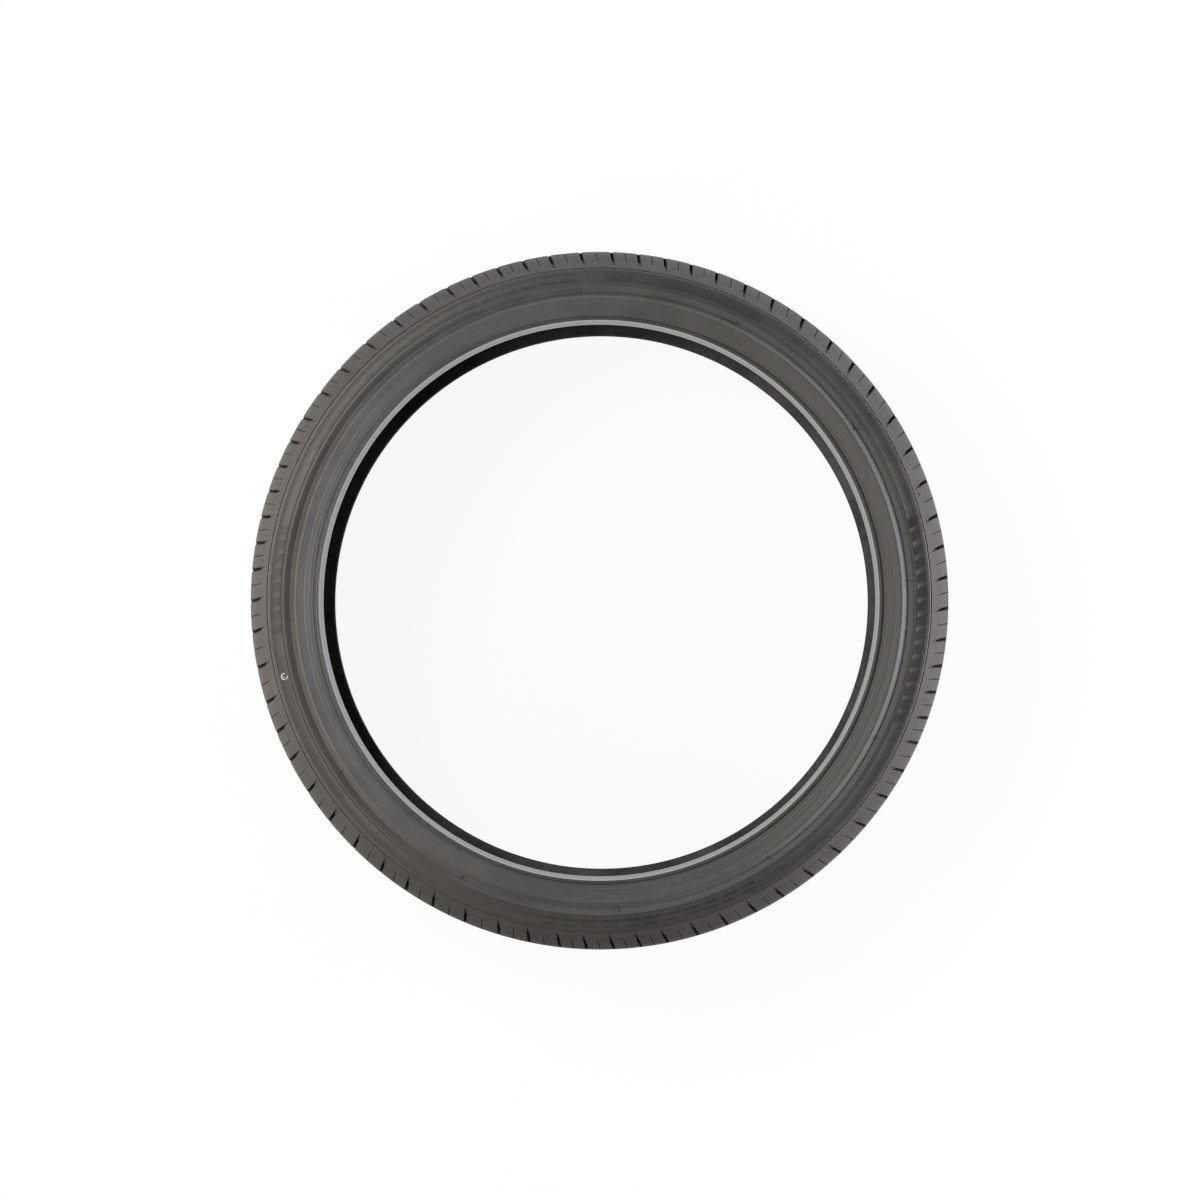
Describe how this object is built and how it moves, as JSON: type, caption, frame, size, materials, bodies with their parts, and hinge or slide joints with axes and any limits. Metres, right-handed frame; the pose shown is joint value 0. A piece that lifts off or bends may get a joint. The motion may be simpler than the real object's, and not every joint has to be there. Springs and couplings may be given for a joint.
{
  "type": "car tyre",
  "caption": "Low-profile car tyre without its wheel: grooved tread, slotted shoulders, ribbed sidewalls and an open inside between two beads that grip a rim.",
  "frame": {"origin": "centre of the wheel: on the axle, halfway between the two sidewalls", "axes": "+Z along the axle, towards the sidewall that the picture shows; the tyre lies on its other sidewall. +X to the picture's right, +Y to its top"},
  "size_m": [0.5503, 0.5502, 0.165],
  "materials": {
    "tyre_rubber": "matt moulded rubber with a slight sheen on the beads"
  },
  "bodies": {
    "root": {"tyre": "tyre_rubber"}
  },
  "joints": []
}
